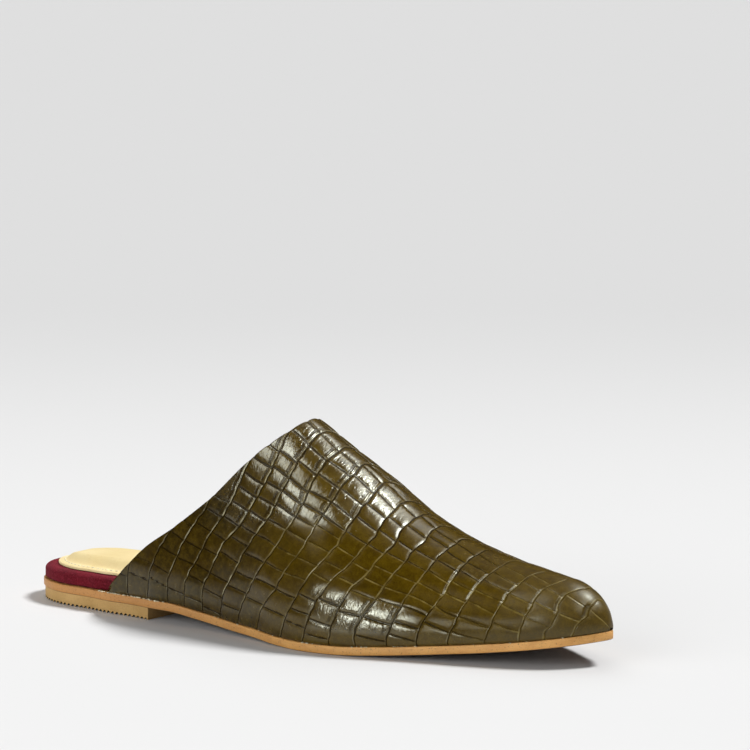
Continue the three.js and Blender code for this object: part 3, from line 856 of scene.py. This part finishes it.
def embossed_leather():
    """Each tile's place comes from attributes, so that groove edges, rims and pores stay crisp."""
    s = Surface("embossed_leather")
    tone, strip, bold = s.attribute("tone"), s.attribute("strip"), s.attribute("bold")
    flat, toe, light, cut = s.attribute("flat"), s.attribute("toe"), s.attribute("light"), s.attribute("cut")
    span, tall = s.attribute("span"), s.attribute("tall")
    gloss, crescent, ridge = s.attribute("gloss"), s.attribute("crescent"), s.attribute("ridge")
    polished = s.math("MAXIMUM", bold, ridge)
    cloud = s.noise(60, 3)
    mottle = s.noise(420, 4, 0.6)
    fine = s.noise(1500, 3, 0.6)
    wobble = s.remap(s.noise(330, 2), 0.3, 0.7, -0.09, 0.09)

    # Millimetres to the grooves behind, ahead, below and above
    behind = s.math("MULTIPLY", s.math("FRACT", s.attribute("across")), span)
    ahead = s.math("SUBTRACT", span, behind)
    below = s.math("MULTIPLY", s.math("FRACT", s.attribute("along")), tall)
    above = s.math("SUBTRACT", tall, below)
    near_cross = s.math("MINIMUM", behind, s.math("MULTIPLY", ahead, 1.7))
    aside = s.math("MINIMUM", below, above)
    near_row = s.math("ADD", aside, s.remap(near_cross, 0.3, 0.6, 2, 0))
    width = s.math("SUBTRACT", s.remap(bold, 0, 1, 0.4, 0.6), s.math("MULTIPLY", flat, 0.12))
    cut_cross = s.smooth(s.math("ADD", near_cross, wobble), width, 0.08)
    cut_row = s.smooth(s.math("ADD", near_row, wobble), width, 0.08)
    cut_row = s.math("MULTIPLY", cut_row, s.remap(toe, 0, 1, 1, 0.45))
    groove = s.math("MAXIMUM", cut_cross, cut_row)
    deep = s.math("MULTIPLY", s.remap(flat, 0, 1, 1, 0.55), s.remap(toe, 0, 1, 1, 0.4))
    trough = s.math("MULTIPLY", groove, deep)

    # The front of each bold tile has a dip with short pores, and a raised rim ahead of it
    inside = s.smooth(near_row, 0.6, 1.3)
    dip = s.math("MULTIPLY", s.smooth(ahead, 1.15, 1.45), s.smooth(ahead, 2.6, 2.1))
    rim = s.math("MULTIPLY", s.smooth(ahead, 0.5, 0.8), s.smooth(ahead, 1.35, 1.0))
    beat = s.math("ADD", s.math("MULTIPLY", below, 6.4), s.remap(mottle, 0, 1, 0, 14))
    pores = s.math("MULTIPLY", s.smooth(s.math("SINE", beat), 0.0, 0.7), s.remap(s.noise(150, 2), 0.42, 0.6))
    marks = s.product(dip, inside, strip)
    pits = s.math("MULTIPLY", marks, pores)
    edge = s.product(rim, inside, strip)

    shade = s.math("ADD", light, s.remap(cloud, 0.3, 0.7, -0.22, 0.22), clamp=True)
    base = s.mix(shade, srgb(48, 37, 6), srgb(80, 62, 5))
    base = s.mix(s.remap(tone, 0, 1, 0.0, 0.45), base, srgb(68, 50, 6))
    base = s.mix(s.remap(mottle, 0.38, 0.66, 0, 0.5), base, srgb(96, 76, 13))
    base = s.mix(s.remap(s.noise(190, 4, 0.65), 0.46, 0.7, 0, 0.6), base, srgb(54, 38, 4))
    base = s.mix(s.remap(fine, 0.45, 0.7, 0, 0.45), base, srgb(46, 34, 5))
    base = s.mix(s.math("MULTIPLY", trough, 0.85), base, srgb(34, 24, 4))
    base = s.mix(s.math("MULTIPLY", marks, 0.7), base, srgb(44, 32, 6))
    base = s.mix(s.math("MULTIPLY", pits, 0.6), base, srgb(24, 17, 4))
    base = s.mix(cut, base, srgb(70, 56, 30))
    # Light catches the edge that each tile turns to the front, broadly along the ridge and the toe
    lip = s.math("MULTIPLY", s.smooth(ahead, 0.18, 0.34), s.smooth(ahead, 0.72, 0.5))
    lip = s.math("MULTIPLY", lip, s.remap(s.noise(170, 4, 0.6), 0.42, 0.6, 0.12, 1))
    lip = s.math("MULTIPLY", lip, s.mix_value(strip, 1.0, s.smooth(aside, 0.5, 1.2)))
    turned = s.product(s.smooth(ahead, 0.2, 0.5), s.smooth(ahead, 2.0, 0.7), crescent)
    bead = s.product(s.smooth(behind, 0.35, 0.8), s.smooth(behind, 1.9, 1.0), ridge)
    turned = s.math("MAXIMUM", turned, bead)
    lit = s.math("MAXIMUM", lip, turned)
    # The same front edges are also painted pale: a painted highlight, not a colour of the leather
    base = s.mix(s.math("MULTIPLY", lip, s.attribute("pale")), base, srgb(196, 186, 146))
    # Broken pale lines run along the shallow grooves of the middle and the toe: a painted highlight on the
    # groove edges
    shallow = s.math("MAXIMUM", flat, s.math("MULTIPLY", toe, 0.8))
    joint_glint = s.product(s.smooth(s.math("MINIMUM", ahead, above), 0.75, 0.4), shallow)
    joint_glint = s.product(joint_glint, s.remap(s.noise(240, 3), 0.4, 0.62, 0.05, 0.5))
    base = s.mix(joint_glint, base, srgb(150, 132, 72))
    dull = s.math("MAXIMUM", s.math("MULTIPLY", groove, 0.85), s.math("MULTIPLY", marks, 0.7))
    shine = s.math("MAXIMUM", gloss, s.math("MULTIPLY", lit, 0.9))
    shine = s.math("MULTIPLY", shine, s.remap(dull, 0, 1, 1, 0.1))
    creases = s.noise(800, 2, 0.5, s.stretched((1.0, 0.35, 0.4)), 0.8)
    wrinkle = s.product(s.remap(creases, 0.38, 0.62), s.remap(polished, 0, 1, 0.12, 1.0))
    slope = s.product(s.smooth(ahead, 1.7, 0.25), crescent)
    # What rises and falls on the skin, in millimetres
    heights = ((trough, -0.3), (edge, 0.12), (marks, -0.08), (pits, -0.1), (wrinkle, 0.06), (bead, 0.16))
    height = s.math("MULTIPLY", slope, -0.65)
    for form, rise in heights:
        height = s.math("ADD", height, s.math("MULTIPLY", form, rise))
    normal = s.bump(height, 0.001)
    normal = s.bump(s.remap(s.cells(1400), 0.0, 0.35), 0.00003, 0.4, normal)
    patchy = s.mix_value(polished, 1.0, s.remap(tone, 0, 1, 0.5, 1.3))
    shine = s.math("MULTIPLY", shine, patchy)
    rough = s.math("ADD", s.remap(mottle, 0.3, 0.7, 0.2, 0.28), s.math("MULTIPLY", toe, 0.14))
    s.set(Base_Color=base, Roughness=rough, Normal=normal, Specular_IOR_Level=shine)
    s.set(Specular_Tint=(0.95, 1.0, 0.86, 1))
    return s.material


def lining_leather():
    s = Surface("lining_leather")
    grain = s.noise(700, 4, 0.6)
    base = s.mix(s.remap(s.noise(50), 0.3, 0.7), srgb(206, 178, 120), srgb(226, 202, 148))
    s.set(Base_Color=s.mix(s.remap(grain, 0.4, 0.7, 0, 0.3), base, srgb(180, 150, 98)), Roughness=0.6)
    s.set(Normal=s.bump(grain, 0.0001, 0.5))
    return s.material


def sole_leather():
    s = Surface("sole_leather")
    fibres = s.noise(900, 5, 0.7, s.stretched((0.35, 0.35, 1.6)))
    specks = s.remap(s.noise(1300, 3, 0.75), 0.58, 0.66)
    bands = s.remap(s.noise(90, 3), 0.35, 0.68)
    base = s.mix(bands, srgb(226, 170, 96), srgb(204, 147, 78))
    base = s.mix(s.remap(fibres, 0.4, 0.7, 0, 0.5), base, srgb(232, 184, 112))
    place = s.node("ShaderNodeSeparateXYZ")
    s.link(s.coords, place.inputs[0])
    base = s.mix(s.smooth(place.outputs["X"], 0.12, 0.02), base, srgb(196, 140, 78))
    base = s.mix(s.math("MULTIPLY", specks, 0.6), base, srgb(112, 66, 30))
    # Faces turned to the floor are painted dark brown: painted shade that keeps the sole's orange out of the
    # shadow beneath it
    facing = s.node("ShaderNodeSeparateXYZ")
    s.link(s.node("ShaderNodeNewGeometry").outputs["Normal"], facing.inputs[0])
    base = s.mix(s.remap(facing.outputs["Z"], -0.6, -0.8), base, srgb(92, 66, 44))
    s.set(Base_Color=base, Roughness=s.remap(fibres, 0.3, 0.7, 0.42, 0.6))
    s.set(Normal=s.bump(fibres, 0.00018, 0.6), Specular_IOR_Level=0.4)
    return s.material


def lift_rubber():
    s = Surface("lift_rubber")
    grain = s.noise(1300, 4, 0.65)
    base = s.mix(s.remap(s.noise(80, 3), 0.35, 0.7), srgb(204, 166, 104), srgb(188, 150, 88))
    base = s.mix(s.remap(grain, 0.5, 0.72, 0, 0.4), base, srgb(160, 120, 66))
    # The tread and the ribs' undersides are painted near black: painted shade where the lift meets the floor
    facing = s.node("ShaderNodeSeparateXYZ")
    s.link(s.node("ShaderNodeNewGeometry").outputs["Normal"], facing.inputs[0])
    base = s.mix(s.remap(facing.outputs["Z"], -0.3, -0.5), base, srgb(24, 17, 11))
    s.set(Base_Color=base, Roughness=0.7, Normal=s.bump(grain, 0.00012, 0.6))
    return s.material


def suede():
    s = Surface("suede")
    nap = s.noise(1500, 5, 0.75)
    drift = s.noise(160, 3, 0.6, s.stretched((0.4, 1, 1)))
    base = s.mix(s.remap(drift, 0.32, 0.68), srgb(84, 6, 20), srgb(110, 11, 28))
    base = s.mix(s.remap(nap, 0.5, 0.66, 0, 0.5), base, srgb(150, 50, 68))
    base = s.mix(s.remap(nap, 0.48, 0.36, 0, 0.7), base, srgb(56, 3, 14))
    s.set(Base_Color=base, Roughness=0.92, Normal=s.bump(nap, 0.0002, 0.7), Specular_IOR_Level=0.2)
    s.set(Sheen_Weight=0.15, Sheen_Roughness=0.5, Sheen_Tint=srgb(200, 90, 110))
    return s.material


def sock_leather():
    s = Surface("sock_leather")
    grain = s.cells(1300)
    cloud = s.noise(70, 3)
    base = s.mix(s.remap(cloud, 0.3, 0.7), srgb(236, 214, 156), srgb(243, 224, 172))
    base = s.mix(s.remap(s.noise(600, 4, 0.6), 0.5, 0.75, 0, 0.35), base, srgb(226, 198, 136))
    s.set(Base_Color=base, Roughness=s.remap(cloud, 0.3, 0.7, 0.5, 0.6), Specular_IOR_Level=0.35)
    s.set(Normal=s.bump(s.remap(grain, 0, 0.5), 0.00006, 0.5))
    return s.material


def plain(name, colour, roughness):
    s = Surface(name)
    fleck = s.noise(900, 3)
    dark = tuple(c * 0.8 for c in colour[:3]) + (1,)
    s.set(Base_Color=s.mix(s.remap(fleck, 0.35, 0.65), colour, dark), Roughness=roughness)
    s.set(Normal=s.bump(fleck, 0.0001, 0.3))
    return s.material


def dress(piece, material, node):
    piece.data.materials.append(material)
    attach(piece, "root")
    if node:
        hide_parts(node)
    return piece


dress(make_upper(), embossed_leather(), "upper")
dress(make_lining(), lining_leather(), "upper")
dress(make_outsole(), sole_leather(), "outsole")
dress(make_lift(), lift_rubber(), "heel_lift")
dress(make_footbed(), suede(), "footbed")
dress(make_sock(), sock_leather(), "sock")
dress(make_stitches(), plain("thread", srgb(246, 236, 206), 0.8), None)
dress(make_flecks(), plain("dried_cement", srgb(226, 216, 184), 0.9), None)

# Stage: a pale floor that fills the view, and soft studio light
floor_mesh = bpy.data.meshes.new("floor")
FLOOR_REACH = 60.0
corners = [(FLOOR_REACH * a, FLOOR_REACH * b, 0) for a, b in ((-1, -1), (1, -1), (1, 1), (-1, 1))]
floor_mesh.from_pydata(corners, [], [(0, 1, 2, 3)])
floor = bpy.data.objects.new("floor", floor_mesh)
bpy.context.scene.collection.objects.link(floor)
paper = Surface("paper")


def metres_toward(way):
    """How far each point of the paper lies from the shoe in one direction."""
    made = paper.node("ShaderNodeVectorMath", operation="DOT_PRODUCT")
    paper.link(paper.coords, made.inputs[0])
    made.inputs[1].default_value = way
    return made.outputs["Value"]


def grey(value):
    return (value, value, value, 1)


# The paper darkens beside the shoe, outside the picture, as past the edge of a table: painted shade, which
# the shoe shows in its reflections
beside_room_shade = paper.remap(metres_toward((-0.6, -0.8, 0)), 0.25, 0.9)
paper_colour = paper.mix(beside_room_shade, grey(0.73), grey(0.1))
# Behind the shoe it grows a little darker: painted shade, as the light falls off with distance
far_falloff_shade = paper.smooth(metres_toward((-0.59, 0.807, 0)), 0.0, 1.1)
paper_colour = paper.mix(far_falloff_shade, paper_colour, grey(0.595))
paper.set(Base_Color=paper_colour, Roughness=0.9, Specular_IOR_Level=0.0)
paper.set(Normal=paper.bump(paper.noise(500, 2), 0.00002, 0.2))
floor.data.materials.append(paper.material)

world = bpy.data.worlds.new("studio")
bpy.context.scene.world = world
world.use_nodes = True


def toward(azimuth, elevation):
    """A direction from the shoe: azimuth 0 is towards -Y and 90 towards +X."""
    a, e = math.radians(azimuth), math.radians(elevation)
    return Vector((math.sin(a) * math.cos(e), -math.cos(a) * math.cos(e), math.sin(e)))


# The room's light: a dim room, a paler backdrop low behind, and soft panels. Each row is a panel's
# azimuth, elevation, half width and edge in degrees, its brightness in reflections, and its brightness
# as it lights matt surfaces. The last two fill in the shadows: one low from the front, which the floor
# hardly catches, and one from behind the heel.
ROOM = 0.02
PANELS = [
    (165, -5, 22, 12, 0.4, 0.3),
    (170, 54, 10, 6, 5.2, 0.3),
    (-38, 52, 15, 6, 7.6, 0.35),
    (0, 20, 9, 5, 16.5, 0.6),
    (76, 46, 9, 5, 10.5, 0.4),
    (-12, 3, 32, 18, 0.05, 2.3),
    (-130, 50, 25, 10, 0.2, 1.3),
]


def light_room(tree):
    """World nodes that add the panels' light by direction."""
    direction = tree.nodes.new("ShaderNodeTexCoord").outputs["Generated"]
    mirrored = tree.nodes.new("ShaderNodeLightPath").outputs["Is Glossy Ray"]

    def combine(operation, a, b):
        made = tree.nodes.new("ShaderNodeMath")
        made.operation = operation
        for socket, item in zip(made.inputs, (a, b)):
            if isinstance(item, (int, float)):
                socket.default_value = item
            else:
                tree.links.new(item, socket)
        return made.outputs[0]

    total = ROOM
    for azimuth, elevation, half, edge, shown, given in PANELS:
        dot = tree.nodes.new("ShaderNodeVectorMath")
        dot.operation = "DOT_PRODUCT"
        tree.links.new(direction, dot.inputs[0])
        dot.inputs[1].default_value = toward(azimuth, elevation)
        fade = tree.nodes.new("ShaderNodeMapRange")
        fade.interpolation_type = "SMOOTHSTEP"
        tree.links.new(dot.outputs["Value"], fade.inputs["Value"])
        fade.inputs["From Min"].default_value = math.cos(math.radians(half + edge))
        fade.inputs["From Max"].default_value = math.cos(math.radians(max(half - edge, 0)))
        bright = combine("ADD", given, combine("MULTIPLY", mirrored, shown - given))
        total = combine("ADD", total, combine("MULTIPLY", fade.outputs["Result"], bright))
    tree.nodes["Background"].inputs["Color"].default_value = (1, 1, 1, 1)
    tree.links.new(total, tree.nodes["Background"].inputs["Strength"])


light_room(world.node_tree)


def lamp(name, way, spread, strength):
    """A soft distant light from a direction, as wide in the sky as spread, in degrees."""
    data = bpy.data.lights.new(name, "SUN")
    data.angle = math.radians(spread)
    data.energy = strength
    made = bpy.data.objects.new(name, data)
    made.location = Vector((0.09, 0.0, 0.03)) + way * 2
    made.rotation_mode = "QUATERNION"
    made.rotation_quaternion = (-way).to_track_quat("-Z", "Y")
    bpy.context.scene.collection.objects.link(made)


lamp("overhead", toward(136, 57), 15, 3.1)

# Camera, at the photograph's angle
lens = bpy.data.cameras.new("camera")
lens.sensor_width = 36
lens.lens = 189.36
lens.clip_start, lens.clip_end = 0.05, 200
camera = bpy.data.objects.new("camera", lens)
camera.location = (1.003395, -1.202163, 0.295818)
camera.rotation_mode = "QUATERNION"
camera.rotation_quaternion = (-toward(36.1306, 7.4622)).to_track_quat("-Z", "Y")
bpy.context.scene.collection.objects.link(camera)
bpy.context.scene.camera = camera
bpy.context.scene.view_settings.view_transform = "Standard"
